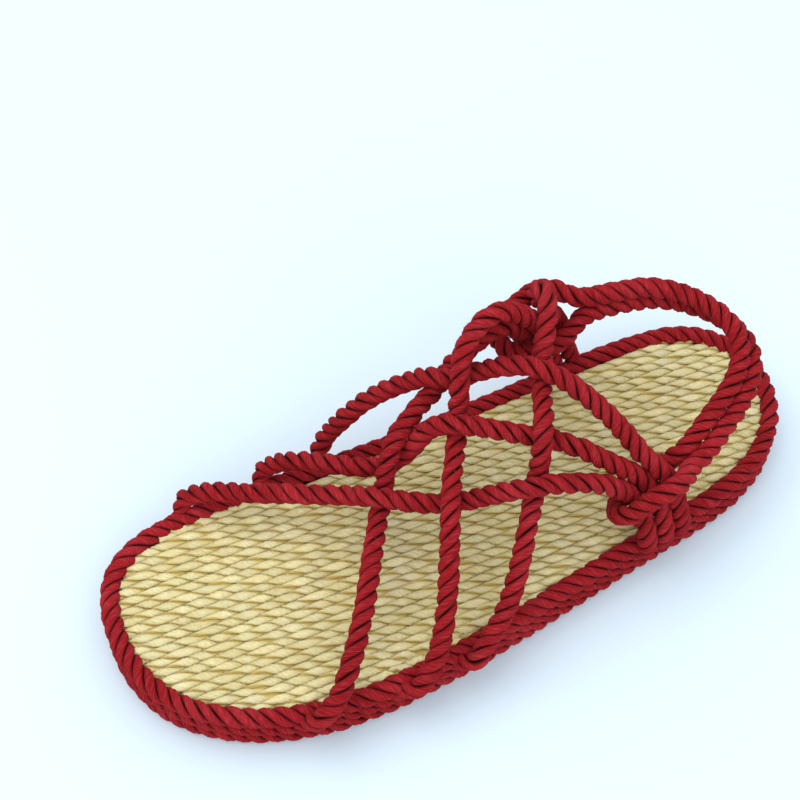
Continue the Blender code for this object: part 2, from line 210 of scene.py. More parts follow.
NET = (
    Strap(Side.INNER, 93, -2.5, -54.7, 1.5, table(
        Hold,
        (48.5, 86.5, 25.5), (40, 75, 31), (31.5, 63, 35), (20.5, 47.5, 40), (9.3, 32.5, 45),
        (-1, 18, 46), (-4.2, 10, 45.6), (-9, 0, 50), (-16, -15.5, 56.8), (-20.5, -29, 56.5),
        (-23.8, -41.5, 51), (-27.6, -51.2, 42.3), (-33.3, -52.4, 34.5), (-38, -53, 26),
    )),
    Strap(Side.INNER, 62, -2.5, -61.7, 1.5, table(
        Hold,
        (47.5, 56.5, 26), (38.5, 46, 34.5), (30.5, 38, 38.5), (23, 28, 41), (20, 20, 43.5),
        (19.6, 14, 50.5), (18.8, 7, 60), (13.1, -0.7, 65.2), (6.6, -11, 64.5), (0.5, -21, 62),
        (-2, -25.5, 61.5), (-6.5, -31, 61.5), (-14, -40, 58), (-20.8, -48.5, 51.5),
        (-27.6, -56.4, 41.6), (-33.8, -59.3, 34), (-38.4, -60.1, 26),
    )),
    Strap(Side.INNER, 40, -2.5, -68.8, 1.5, table(
        Hold,
        (49.5, 35, 26), (48, 30, 35), (46.5, 23, 44), (43, 12, 54), (36, 0, 63), (32, -4.5, 65.6),
        (30, -9, 66.2), (28.5, -14.5, 67.5), (25.5, -20, 71), (20.5, -26.5, 75.5), (14.5, -33, 77.2),
        (8.5, -38.8, 75), (1.5, -45, 69.5), (-6, -50.3, 63.8), (-14.3, -54.8, 57.5), (-21, -57.2, 51.5),
        (-26.8, -60.2, 45.5), (-33, -65, 35.5), (-37.6, -67, 26),
    )),
    Strap(Side.OUTER, 82, -2.8, -56, 1.5, table(
        Hold,
        (-47.5, 74.5, 25), (-41, 66.5, 30.5), (-29.5, 56.5, 35), (-17.5, 48, 37), (-4, 39.5, 38),
        (10, 30, 41), (16.5, 25, 49), (20.3, 21.3, 52.5), (27.5, 10.5, 56), (33, -0.5, 59),
        (35, -8.6, 65), (36, -15.2, 69.5), (37.3, -21, 73), (37.8, -26, 75), (38, -31, 74.5),
        (38.3, -35.3, 70.5), (39.3, -39, 63.5), (41.5, -42.8, 54), (45, -46, 43), (49, -50, 30),
    )),
    Strap(Side.OUTER, 47, -3.2, -63, 1.5, table(
        Hold,
        (-49.5, 38.5, 25), (-43, 32, 31), (-33.5, 25.5, 38), (-20.5, 18.5, 47), (-8.3, 12.3, 53),
        (1, 7, 55), (9.5, 1.5, 57), (15, -1.8, 58), (20, -4.5, 62), (24.5, -6.5, 69), (28.5, -9, 74.8),
        (33.5, -13.5, 79), (36.7, -19.5, 82.3), (38, -25.5, 84.3), (37.8, -31.3, 83.2),
        (36.8, -36.8, 79), (36.6, -41.2, 72), (39, -46.3, 63), (42.3, -50, 52.5), (46, -53.5, 41.5),
        (49, -57, 30),
    )),
    Strap(Side.OUTER, 24, -3.8, -70.5, 1.5, table(
        Hold,
        (-46.8, 14, 25), (-41.5, 5.5, 32.5), (-34, -2, 41), (-24, -10, 47.5), (-14, -17.8, 51),
        (-8, -22.3, 60), (-3, -25.5, 68.5), (5.6, -29.5, 69.5), (13.6, -33.3, 69.3), (20, -36.8, 70),
        (26, -40.5, 73), (31.5, -44.5, 77), (35.4, -46.8, 80.6), (40, -47.5, 83.2), (44.2, -46.6, 80),
        (43.8, -48, 72.5), (41.6, -52.2, 64.5), (41, -56.2, 56.5), (43, -59, 49), (46, -61, 41.5),
        (49, -64.5, 30),
    )),
)

HEEL_PAIR = table(
    PairRow,
    (-29.4, -54.6, 43, 8.6, 50), (-28.4, -60.8, 44, 7.8, 48), (-26.2, -66.8, 46, 5, 25),
    (-25.2, -73.8, 48.5, 4.1, -5), (-22, -82, 51, 3.9, -15), (-16.8, -92, 53.5, 3.9, -25),
    (-12, -100.7, 56, 3.9, -32), (-5.2, -108, 58, 3.9, -40), (3, -111.6, 59.6, 3.9, -50),
    (12.4, -110.5, 61.2, 3.9, -60), (22.6, -104.2, 62.8, 3.9, -75), (31, -94.5, 64.2, 3.9, -88),
    (35, -84, 65.2, 3.9, -98), (37, -70.2, 66, 3.9, -108), (38.2, -61.3, 66, 5.2, -122),
    (39.3, -52.5, 64.3, 9, -140), (40, -41, 63, 9, -142),
)
OUTER_BIGHT = Hold(-28.2, -48.6, 38)
INNER_BIGHT = Hold(40.5, -31, 62.5)
HEEL_MIDDLE = (5.0, -70.0)


def spline_bends(points: Array, gaps: Array, closed: bool) -> Array:
    """The second derivatives of a cubic spline.

    Args:
        points: what the spline passes through, a row each.
        gaps: the parameter's length between one point and the next.
        closed: whether the last point is the first one again.

    Returns:
        A row for each point.
    """
    slopes = np.diff(points, axis=0) / gaps[:, None]
    count = len(gaps)
    size = count if closed else count + 1
    rows = np.zeros((size, size))
    right = np.zeros((size, 3))
    if not closed:
        rows[0, 0] = rows[-1, -1] = 1
    for i in range(0 if closed else 1, count):
        before, after = gaps[i - 1], gaps[i]
        rows[i, i - 1] += before
        rows[i, i] += 2 * (before + after)
        rows[i, (i + 1) % size] += after
        right[i] = 6 * (slopes[i] - slopes[i - 1])
    bends = np.linalg.solve(rows, right)
    return np.vstack([bends, bends[:1]]) if closed else bends


def run_lengths(path: Array, closed: bool = False) -> Array:
    """The length along a path at each of its points, and once more at a loop's end."""
    points = np.vstack([path, path[:1]]) if closed else path
    return np.r_[0, np.cumsum(np.linalg.norm(np.diff(points, axis=0), axis=1))]


def respace(path: Array, step: float, closed: bool = False) -> Array:
    """The path again, with its points evenly spaced.

    Args:
        path: the points.
        step: about how far apart the new points are.
        closed: whether the path runs on from its last point to its first.

    Returns:
        The new points.
    """
    if closed:
        path = np.vstack([path, path[:1]])
    run = run_lengths(path)
    count = max(8, round(run[-1] / step))
    at = np.linspace(0, run[-1], count + 1)
    even = np.stack([np.interp(at, run, path[:, axis]) for axis in range(3)], axis=1)
    return even[:-1] if closed else even


def smooth_route(holds: Sequence, closed: bool = False) -> Array:
    """A smooth curve through the holds.

    Args:
        holds: the points that it passes through.
        closed: whether it is a loop.

    Returns:
        Evenly spaced points on the curve.
    """
    points = np.array(holds, float)
    if closed:
        points = np.vstack([points, points[:1]])
    gaps = np.sqrt(np.linalg.norm(np.diff(points, axis=0), axis=1))
    bends = spline_bends(points, gaps, closed)
    u = np.linspace(0, 1, SPLINE_SAMPLES, endpoint=False)[:, None]
    w = 1 - u
    pieces = []
    for i, gap in enumerate(gaps):
        straight = w * points[i] + u * points[i + 1]
        curve = (w**3 - w) * bends[i] + (u**3 - u) * bends[i + 1]
        pieces.append(straight + gap**2 / 6 * curve)
    return respace(np.vstack(pieces + [points[-1:]]), ROUTE_STEP)[: -1 if closed else None]


def ease(values: Array, closed: bool, weight: float) -> Array:
    """Blends each row with its two neighbours.

    Args:
        values: the rows.
        closed: whether the last row is beside the first.
        weight: 0 leaves the rows alone, and 1 makes each its neighbours' mean.

    Returns:
        The blended rows.
    """
    if closed:
        around = (np.roll(values, 1, axis=0) + np.roll(values, -1, axis=0)) / 2
    else:
        padded = np.vstack([values[:1], values, values[-1:]])
        around = (padded[:-2] + padded[2:]) / 2
    return values + weight * (around - values)


def nearest_points(path: Array, other: Array, own: bool = False) -> tuple[Array, Array]:
    """Where another path comes nearest to each point of a path.

    Args:
        path: the points.
        other: the other path.
        own: whether the other path is the same loop, whose near neighbours don't count.

    Returns:
        The way from the nearest place to each point, a row each, and its length.
    """
    apart = path[:, None] - other[None]
    far = np.linalg.norm(apart, axis=2)
    here = np.arange(len(path))
    if own:
        steps = np.abs(np.subtract.outer(here, here))
        steps = np.minimum(steps, len(path) - steps)
        far[steps * ROUTE_STEP < LOOP_REACH] = np.inf
    nearest = far.argmin(axis=1)
    return apart[here, nearest], far[here, nearest]


def push(path: Array, other: Array, wanted: float, own: bool = False) -> Array:
    """How far each point of a path moves to lie clear of another path.

    Args:
        path: the points that move.
        other: the path that they keep away from.
        wanted: the distance between the two.
        own: whether the other path is the same loop.

    Returns:
        A move for each point.
    """
    apart, distance = nearest_points(path, other, own)
    distance = np.maximum(distance, 1e-6)
    short = np.clip(wanted - distance, 0, None)
    return (short / distance)[:, None] * apart


def draw_together(loop: Array, wanted: float) -> Array:
    """Presses the two legs of a folded loop against each other.

    Args:
        loop: the loop's evenly spaced points.
        wanted: the distance between the legs where they lie side by side.

    Returns:
        The loop with its legs pressed. Where they spread round other ropes, they stay.
    """
    apart, distance = nearest_points(loop, loop, own=True)
    pull = np.clip(distance - wanted, 0, PULL_LIMIT) / 2
    pull = pull * np.clip((PULL_END - distance) / PULL_FADE, 0, 1)
    move = -(pull / distance)[:, None] * apart
    for _ in range(4):
        move = ease(move, True, MOVE_EASE)
    return loop + move


class SandalLines:
    """The centre lines of all the ropes, settled against each other."""

    def __init__(self) -> None:
        """Works out every line once."""
        self.rim = smooth_route([(p.across, p.along, 0.0) for p in RIM_LINE], True)
        routes = [smooth_route(self.strap_holds(strap)) for strap in NET]
        self.straps, heel = self.settle(routes, smooth_route(self.heel_holds(), True))
        self.heel = draw_together(heel, PAIR_TOUCH)

    def shift(self) -> Array:
        """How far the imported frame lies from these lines: its box is centred on the origin."""
        low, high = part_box("rim_rope_top")
        line_middle = (self.rim.min(axis=0) + self.rim.max(axis=0)) / 2
        return np.array(((low.x + high.x) / 2, (low.y + high.y) / 2, 0.0)) / MM - line_middle

    def rim_across(self, along: float, side: Side) -> float:
        """How far across the rim's centre line is, on one side, at this place along the shoe."""
        line = self.rim[self.rim[:, 0] * side.value > SIDE_REACH]
        return line[np.abs(line[:, 1] - along).argmin(), 0]

    def tucked(self, tucks: Sequence[Tuck], side: Side, along: float, lean: float) -> list[Hold]:
        """The holds of a strap's end.

        Args:
            tucks: its points, measured from the rim.
            side: the side of the sole that it is on.
            along: where it is along the shoe.
            lean: how far it leans that way.

        Returns:
            The holds, in the order of its points.
        """
        edge = self.rim_across(along, side)
        return [Hold(edge + side.value * t.out, along + lean * t.shift, t.up) for t in tucks]

    def strap_holds(self, strap: Strap) -> list[Hold]:
        """All the holds of a strap: out of its groove, over the foot, and into the other groove."""
        ending = Side.OUTER if strap.side is Side.INNER else Side.INNER
        rise = self.tucked(RISE, strap.side, strap.start_along, strap.start_lean)
        drop = self.tucked(DROP, ending, strap.end_along, strap.end_lean)
        return rise + list(strap.route) + drop

    @staticmethod
    def heel_holds() -> Array:
        """The holds of the heel strap's one loop: lower leg, inner bight, upper leg, outer bight."""
        middle = np.array([row[:3] for row in HEEL_PAIR], float)
        tangent = np.gradient(middle, axis=0)
        tangent /= np.linalg.norm(tangent, axis=1)[:, None]
        outward = np.stack([tangent[:, 1], -tangent[:, 0], 0 * tangent[:, 0]], axis=1)
        outward /= np.linalg.norm(outward, axis=1)[:, None]
        away = ((middle[:, :2] - HEEL_MIDDLE) * outward[:, :2]).sum(axis=1)
        outward *= np.sign(away)[:, None]
        upward = np.cross(tangent, outward)
        upward *= np.sign(upward[:, 2])[:, None]
        turn = np.radians([row.turn for row in HEEL_PAIR])[:, None]
        half = np.array([row.half_spread for row in HEEL_PAIR], float)[:, None]
        offset = half * (np.cos(turn) * outward + np.sin(turn) * upward)
        return np.vstack([middle + offset, [INNER_BIGHT], (middle - offset)[::-1], [OUTER_BIGHT]])

    def settle(self, straps: list, heel: Array) -> tuple:
        """Moves ropes that would share space apart, until they only press on each other.

        Straps of the net press into each other by a little, and keep clear of the heel strap.
        Their ends stay in the rim's grooves.

        Args:
            straps: the net's paths.
            heel: the heel strap's closed path.

        Returns:
            The net's paths and the heel strap's, settled.
        """
        paths = list(straps) + [heel]
        last = len(paths) - 1
        rim_ropes = [self.rim + np.array((0.0, 0.0, level)) for level in RIM_LEVELS]
        for _ in range(SETTLE_ROUNDS):
            moves = [np.zeros_like(path) for path in paths]
            for i in range(len(paths)):
                for j in range(i + 1, len(paths)):
                    wanted = CLEAR if j == last else TOUCH
                    moves[i] += 0.5 * push(paths[i], paths[j], wanted)
                    moves[j] += 0.5 * push(paths[j], paths[i], wanted)
            moves[last] += 0.5 * push(paths[last], paths[last], CLEAR, own=True)
            for i in range(last):
                run = np.arange(len(paths[i])) * ROUTE_STEP
                free = np.clip((run - START_HELD) / HELD_FADE, 0, 1)
                free = free * np.clip((run[::-1] - END_HELD) / HELD_FADE, 0, 1)
                for rope in rim_ropes:
                    moves[i] += free[:, None] * push(paths[i], rope, TOUCH)
            for i, path in enumerate(paths):
                closed = i == last
                move = moves[i]
                for _ in range(3):
                    move = ease(move, closed, MOVE_EASE)
                moved = ease(path + move, closed, PATH_EASE)
                if not closed:
                    moved[[0, -1]] = path[[0, -1]]
                paths[i] = moved
        return paths[:-1], paths[-1]


class RouteFrames(NamedTuple):
    """A route's points, a side and an up direction at each, and whether it is a loop."""

    points: Array
    sides: Array
    ups: Array
    closed: bool


def forward_directions(path: Array, closed: bool) -> Array:
    """The unit direction along the path at each of its points."""
    if closed:
        forwards = np.roll(path, -1, axis=0) - np.roll(path, 1, axis=0)
    else:
        forwards = np.gradient(path, axis=0)
    return forwards / np.linalg.norm(forwards, axis=1)[:, None]


def carried_frames(path: Array, closed: bool) -> RouteFrames:
    """Directions carried along a path without twisting.

    Args:
        path: the points.
        closed: whether it is a loop, round which the directions then close.

    Returns:
        The path with its directions. Side, up and forwards are a right-handed set.
    """
    forwards = forward_directions(path, closed)
    side = np.cross(forwards[0], (0.0, 0.0, 1.0))
    # A path that starts nearly upright takes its first side from +Y
    if np.linalg.norm(side) < 0.2:
        side = np.cross(forwards[0], (0.0, 1.0, 0.0))
    sides = []
    for direction in forwards:
        side = side - direction * side.dot(direction)
        side = side / np.linalg.norm(side)
        sides.append(side)
    sides = np.array(sides)
    ups = np.cross(forwards, sides)
    if closed:
        back = sides[-1] - forwards[0] * sides[-1].dot(forwards[0])
        miss = math.atan2(back.dot(ups[0]), back.dot(sides[0]))
        turn = -miss * np.arange(len(path))[:, None] / len(path)
        turned = sides * np.cos(turn) + ups * np.sin(turn)
        ups = ups * np.cos(turn) - sides * np.sin(turn)
        sides = turned
    return RouteFrames(path, sides, ups, closed)


def level_frames(path: Array, closed: bool) -> RouteFrames:
    """Directions along a path that lies level: up is always +Z."""
    forwards = forward_directions(path, closed)
    ups = np.tile((0.0, 0.0, 1.0), (len(path), 1))
    return RouteFrames(path, np.cross(ups, forwards), ups, closed)


@dataclass(frozen=True)
class RopeMake:
    """How a rope is laid. Its strands turn as a right-handed screw's thread does.

    Attributes:
        strands: how many strands it has.
        offset: from the rope's centre to a strand's centre.
        thick: half of a strand's size across the rope.
        wide: half of its size round the rope.
        lay_length: the rope's length for one turn of a strand.
        fibre_turn: the angle in degrees between a strand's fibres and the strand.
        sides: faces round a strand.
        step: the length of a face.
        wander: how unevenly it is laid, as a share of a turn.
    """

    strands: int
    offset: float
    thick: float
    wide: float
    lay_length: float
    fibre_turn: float
    sides: int
    step: float
    wander: float


RED_ROPE = RopeMake(3, 2.2, 1.66, 1.74, 16.0, -26.0, 10, 1.15, 0.02)
RIM_ROPE = RopeMake(3, 2.16, 1.63, 1.78, 17.0, -26.0, 10, 1.3, 0.025)
MAT_CORD = RopeMake(2, 0.9, 1.16, 1.76, 15.0, -14.0, 8, 1.3, 0.06)
SOLE_CORD = RopeMake(2, 0.9, 1.16, 1.76, 15.0, -14.0, 6, 1.9, 0.06)


class StrandMesh:
    """Growing lists of a laid rope's points, faces and surface values."""

    def __init__(self) -> None:
        """Starts with nothing in it."""
        self.points, self.faces, self.fibres, self.crests, self.shades = [], [], [], [], []
        self.count = 0

    def add_strand(
        self, rings: Array, run: Array, make: RopeMake, closed: bool, shade: float
    ) -> None:
        """Adds one strand.

        Args:
            rings: its points, by station and by place round the strand.
            run: the length along the strand at each station, and once more at a loop's end.
            make: how the rope is laid.
            closed: whether the strand joins its own start.
            shade: how light the strand is, from 0 to 1.
        """
        stations, sides = rings.shape[:2]
        round_strand = np.arange(sides + 1) / sides * 2 * math.pi
        girth = round_strand * (make.thick + make.wide) / 2
        turn = math.radians(make.fibre_turn)
        near = np.arange(stations if closed else stations - 1)
        far = (near + 1) % stations
        side = np.arange(sides)
        after = (side + 1) % sides
        corner = self.count + np.stack([
            near[:, None] * sides + side, near[:, None] * sides + after,
            far[:, None] * sides + after, far[:, None] * sides + side,
        ], axis=-1)
        length_at = np.stack([run[near], run[near], run[near + 1], run[near + 1]], axis=-1)
        girth_at = np.stack([girth[side], girth[side + 1], girth[side + 1], girth[side]], axis=-1)
        with_fibre = length_at[:, None] * math.cos(turn) - girth_at * math.sin(turn)
        across_fibre = length_at[:, None] * math.sin(turn) + girth_at * math.cos(turn)
        across_fibre = across_fibre + FIBRE_SHIFT * shade
        self.points.append(rings.reshape(-1, 3))
        self.faces.append(corner.reshape(-1, 4))
        self.fibres.append(np.stack([with_fibre, across_fibre], axis=-1).reshape(-1, 2))
        self.crests.append(np.tile(np.cos(round_strand[:-1]), stations))
        self.shades.append(np.full(stations * sides, shade))
        if not closed:
            self.close_end(rings[0], run[0], self.count, shade, True)
            self.close_end(rings[-1], run[-1], self.count + (stations - 1) * sides, shade, False)
        self.count = sum(len(block) for block in self.points)

    def close_end(self, ring: Array, length: float, first: int, shade: float, start: bool) -> None:
        """Adds the fan of faces over a strand's end.

        Args:
            ring: the points round the end.
            length: how far along the strand it is.
            first: the number of the ring's first point.
            shade: how light the strand is.
            start: whether it is the strand's start.
        """
        sides = len(ring)
        hub = sum(len(block) for block in self.points)
        self.points.append(ring.mean(axis=0)[None])
        this = first + np.arange(sides)
        following = first + (np.arange(sides) + 1) % sides
        pair = (following, this) if start else (this, following)
        fan = np.stack([pair[0], pair[1], np.full(sides, hub), np.full(sides, hub)], axis=-1)
        self.faces.append(fan)
        self.fibres.append(np.tile((length, FIBRE_SHIFT * shade), (sides * 4, 1)))
        self.crests.append(np.zeros(1))
        self.shades.append(np.full(1, shade))

    def add_rope(
        self,
        frames: RouteFrames,
        make: RopeMake,
        phase: float,
        seed: int,
        flat: float = 1.0,
        press: Optional[Array] = None,
    ) -> None:
        """Adds every strand of a rope.

        Args:
            frames: the rope's route.
            make: how it is laid.
            phase: where its first strand starts, in turns.
            seed: what its unevenness is drawn from.
            flat: the rope's height as a share of its width.
            press: the rope's thickness at each point of its route, as a share of the whole.
        """
        draw = np.random.default_rng(seed)
        path, closed = frames.points, frames.closed
        run = run_lengths(path, closed)
        total = run[-1]
        turns = total / make.lay_length
        if closed:
            turns = round(turns)
        at = run[: len(path)]
        uneven = wave_sum(at / total, draw, closed) * make.wander
        share = np.ones(len(path)) if press is None else press
        for strand in range(make.strands):
            swell = share * (1 + SWELL * wave_sum(at / total, draw, closed))
            angle = 2 * math.pi * (turns * at / total + strand / make.strands + phase + uneven)
            reach = np.cos(angle)[:, None] * frames.sides + np.sin(angle)[:, None] * frames.ups
            centre = path + make.offset * share[:, None] * reach
            along = forward_directions(centre, closed)
            outward = reach - along * (reach * along).sum(axis=1)[:, None]
            outward /= np.linalg.norm(outward, axis=1)[:, None]
            sideways = np.cross(along, outward)
            place = np.arange(make.sides) / make.sides * 2 * math.pi
            rings = (
                centre[:, None]
                + (swell * make.thick)[:, None, None] * np.cos(place)[None, :, None] * outward[:, None]
                + (swell * make.wide)[:, None, None] * np.sin(place)[None, :, None] * sideways[:, None]
            )
            if flat != 1.0:
                rise = ((rings - path[:, None]) * frames.ups[:, None]).sum(axis=2, keepdims=True)
                rings = rings + (flat - 1) * rise * frames.ups[:, None]
            self.add_strand(rings, run_lengths(centre, closed), make, closed, draw.random())

    def build(self, name: str, material: Material) -> bpy.types.Object:
        """Makes the piece.

        Args:
            name: the piece's name.
            material: its finish.

        Returns:
            The new object, at the origin, with its place in its mesh.
        """
        points = np.vstack(self.points) * MM
        quads = np.vstack(self.faces)
        mesh = bpy.data.meshes.new(name)
        faces = [tuple(dict.fromkeys(face)) for face in quads.tolist()]
        mesh.from_pydata(points.tolist(), [], faces)
        keep = np.ones(quads.shape, bool)
        keep[:, 3] = quads[:, 3] != quads[:, 2]
        layer = mesh.uv_layers.new(name="fibres")
        layer.data.foreach_set("uv", np.vstack(self.fibres)[keep.ravel()].astype(np.float32).ravel())
        # crest runs from 1 on a strand's outer side to -1 on its inner side; the finish paints shade
        # from it.
        for label, blocks in (("crest", self.crests), ("shade", self.shades)):
            values = mesh.attributes.new(label, "FLOAT", "POINT")
            values.data.foreach_set("value", np.concatenate(blocks).astype(np.float32))
        mesh.materials.append(material)
        mesh.shade_smooth()
        mesh.update()
        made = bpy.data.objects.new(name, mesh)
        bpy.context.scene.collection.objects.link(made)
        return made


def wave_sum(place: Array, draw: np.random.Generator, closed: bool) -> Array:
    """A smooth uneven curve of a few waves, about 1 high.

    Args:
        place: where along the rope, from 0 to 1.
        draw: what the waves are drawn from.
        closed: whether the curve has to meet its own start.

    Returns:
        A value for each place.
    """
    total = np.zeros_like(place)
    for waves in WAVES:
        count = waves if closed else waves * OPEN_SHARE
        total += math.sqrt(1 / 2) * np.sin(2 * math.pi * (count * place + draw.random()))
    return total


class NodeSheet:
    """A material's node tree, with short ways to add to it."""

    def __init__(self, name: str) -> None:
        """Starts a material whose shader is a Principled BSDF."""
        self.material = bpy.data.materials.new(name)
        self.material.use_nodes = True
        self.tree = self.material.node_tree
        self.shader = self.tree.nodes["Principled BSDF"]

    def add(self, kind: str, values: Optional[dict] = None, **settings: object) -> bpy.types.Node:
        """Adds a node.

        Args:
            kind: its type.
            values: what some of its inputs are set to.
            settings: its own properties.

        Returns:
            The node.
        """
        node = self.tree.nodes.new(kind)
        for name, value in settings.items():
            setattr(node, name, value)
        self.put(node, values or {})
        return node

    def put(self, node: bpy.types.Node, values: dict) -> None:
        """Sets inputs of a node by their names."""
        for name, value in values.items():
            node.inputs[name].default_value = value

    def link(self, source: Socket, target: Socket) -> None:
        """Joins two sockets."""
        self.tree.links.new(source, target)

    def noise(self, source: Socket, stretch: Sequence[float], detail: float = 2.0) -> Socket:
        """A noise read through a stretch.

        Args:
            source: the coordinates.
            stretch: the scale along each axis.
            detail: how many finer layers it has.

        Returns:
            The noise's value.
        """
        place = self.add("ShaderNodeMapping", {"Scale": stretch})
        self.link(source, place.inputs["Vector"])
        noise = self.add("ShaderNodeTexNoise", {"Scale": 1.0, "Detail": detail})
        self.link(place.outputs["Vector"], noise.inputs["Vector"])
        return noise.outputs["Fac"]

    def ramp(self, source: Socket, stops: Sequence[tuple]) -> Socket:
        """A colour ramp of (place, colour) stops."""
        ramp = self.add("ShaderNodeValToRGB")
        band = ramp.color_ramp
        while len(band.elements) < len(stops):
            band.elements.new(0.5)
        for element, (place, colour) in zip(band.elements, stops):
            element.position = place
            element.color = colour
        self.link(source, ramp.inputs["Fac"])
        return ramp.outputs["Color"]

    def mix(self, blend: str, share: object, first: Socket, second: Socket) -> Socket:
        """Mixes two colours by a number or by another socket."""
        node = self.add("ShaderNodeMix", data_type="RGBA", blend_type=blend)
        if isinstance(share, float):
            node.inputs["Factor"].default_value = share
        else:
            self.link(share, node.inputs["Factor"])
        self.link(first, node.inputs[6])
        self.link(second, node.inputs[7])
        return node.outputs[2]

    def bump(
        self, height: Socket, distance: float, strength: float, under: Optional[Socket] = None
    ) -> Socket:
        """A bump on top of another one."""
        node = self.add("ShaderNodeBump", {"Distance": distance, "Strength": strength})
        self.link(height, node.inputs["Height"])
        if under is not None:
            self.link(under, node.inputs["Normal"])
        return node.outputs["Normal"]


def grey(value: float) -> Colour:
    """A grey, from 0 for black to 1 for white."""
    return (value, value, value, 1.0)


@dataclass(frozen=True)
class FibreFinish:
    """A matt finish of twisted fibres, with shade painted down between the strands.

    Attributes:
        name: the material's name.
        groove_shade: painted shade, the dark colour put down between the strands.
        dark: the colour of the darker fibres.
        plain: the middle colour.
        light: the colour of the lightest fibres.
        fibre_width: about how wide a bundle of fibres is, in millimetres.
        fibre_length: about how far it runs on the surface.
        relief: how high the fibres stand, in millimetres.
        roughness: the surface's roughness.
        fuzz: the strength of the sheen that loose fibre ends give.
        mottle: the share of the colour that comes from patches of the whole piece.
        patches: how many patches a metre holds.
        dim_strand: how light the dimmest strand is, as a share.
        dim_hair: how light the gap between two hairs is, as a share.
        groove_shade_crests: the crest values at which the painted shade of deep starts and is full.
    """

    name: str
    groove_shade: Colour
    dark: Colour
    plain: Colour
    light: Colour
    fibre_width: float
    fibre_length: float
    relief: float
    roughness: float
    fuzz: float
    mottle: float = 0.35
    patches: float = 55.0
    dim_strand: float = 0.86
    dim_hair: float = 0.72
    groove_shade_crests: tuple[float, float] = (0.55, -0.35)

    def material(self) -> Material:
        """Builds the material."""
        sheet = NodeSheet(self.name)
        surface = sheet.add("ShaderNodeUVMap", uv_map="fibres").outputs["UV"]
        solid = sheet.add("ShaderNodeTexCoord").outputs["Object"]
        crest = sheet.add("ShaderNodeAttribute", attribute_name="crest").outputs["Fac"]
        shade = sheet.add("ShaderNodeAttribute", attribute_name="shade").outputs["Fac"]
        bundles = sheet.noise(surface, (1 / self.fibre_length, 1 / self.fibre_width, 1.0), 1.0)
        hairs = sheet.noise(surface, (2.5 / self.fibre_length, 3.2 / self.fibre_width, 1.0), 2.0)
        patches = sheet.noise(solid, (self.patches, self.patches, self.patches), 2.0)
        fibres = sheet.ramp(bundles, ((0.34, self.dark), (0.5, self.plain), (0.7, self.light)))
        worn = sheet.ramp(patches, ((0.35, self.dark), (0.52, self.plain), (0.72, self.light)))
        colour = sheet.mix("MIX", self.mottle, fibres, worn)
        strand = sheet.ramp(shade, ((0.0, grey(self.dim_strand)), (1.0, grey(1.0))))
        colour = sheet.mix("MULTIPLY", 1.0, colour, strand)
        fine = sheet.ramp(hairs, ((0.35, grey(self.dim_hair)), (0.6, grey(1.0))))
        colour = sheet.mix("MULTIPLY", 0.8, colour, fine)
        # Painted shade: towards each strand's inner side, where it meets its neighbours, the colour
        # turns to deep.
        rim, bed = self.groove_shade_crests
        groove = sheet.add("ShaderNodeMapRange", {"From Min": rim, "From Max": bed})
        sheet.link(crest, groove.inputs["Value"])
        groove_shade = sheet.add("ShaderNodeRGB")
        groove_shade.outputs[0].default_value = self.groove_shade
        colour = sheet.mix("MIX", groove.outputs["Result"], colour, groove_shade.outputs[0])
        sheet.link(colour, sheet.shader.inputs["Base Color"])
        low = sheet.bump(bundles, self.relief * MM, 1.0)
        sheet.link(sheet.bump(hairs, 0.5 * self.relief * MM, 0.8, low), sheet.shader.inputs["Normal"])
        sheet.put(sheet.shader, {
            "Roughness": self.roughness, "Specular IOR Level": 0.15,
            "Sheen Weight": self.fuzz, "Sheen Roughness": 0.5, "Sheen Tint": self.light,
        })
        return sheet.material


# Each finish's deep is painted shade, for the grooves between the strands.
RED_FINISH = FibreFinish(
    "red_rope_fibres",
    groove_shade=(0.035, 0.0003, 0.0006, 1.0),
    dark=(0.25, 0.004, 0.006, 1.0),
    plain=(0.37, 0.010, 0.014, 1.0),
    light=(0.54, 0.04, 0.05, 1.0),
    fibre_width=0.5, fibre_length=5.0, relief=0.45, roughness=0.9, fuzz=0.04,
)
# Here deep is painted shade at the boundaries between the plies.
STRAW_FINISH = FibreFinish(
    "straw_cord_fibres",
    groove_shade=(0.52, 0.37, 0.09, 1.0),
    dark=(0.80, 0.65, 0.27, 1.0),
    plain=(0.90, 0.78, 0.39, 1.0),
    light=(0.95, 0.87, 0.57, 1.0),
    fibre_width=0.4, fibre_length=4.0, relief=0.3, roughness=0.9, fuzz=0.05,
)


@dataclass(frozen=True)
class ShadedFillingFinish:
    """The filling between the mat's top and its underside: cord ends painted dark as shade.

    Attributes:
        name: the material's name.
        dark: painted shade, the colour of the hollows between the bands.
        light: the colour of the cord, painted darker than the straw as the shade between the rows.
        pitch: the cords' pitch in millimetres, which sets how wide the bands are.
    """

    name: str = "shaded_mat_filling"
    dark: Colour = (0.36, 0.28, 0.10, 1.0)
    light: Colour = (0.56, 0.46, 0.21, 1.0)
    pitch: float = CORD_PITCH

    def material(self) -> Material:
        """Builds the material."""
        sheet = NodeSheet(self.name)
        solid = sheet.add("ShaderNodeTexCoord").outputs["Object"]
        bands = {"Scale": 1 / (self.pitch * MM) / 20, "Distortion": 1.5}
        wave = sheet.add("ShaderNodeTexWave", bands, bands_direction="X")
        sheet.link(solid, wave.inputs["Vector"])
        # Painted shade: dark bands for the hollows, on a filling kept darker than the straw.
        colour = sheet.ramp(wave.outputs["Fac"], ((0.2, self.dark), (0.8, self.light)))
        sheet.link(colour, sheet.shader.inputs["Base Color"])
        sheet.link(sheet.bump(wave.outputs["Fac"], 0.4 * MM, 0.8), sheet.shader.inputs["Normal"])
        sheet.put(sheet.shader, {"Roughness": 0.9})
        return sheet.material


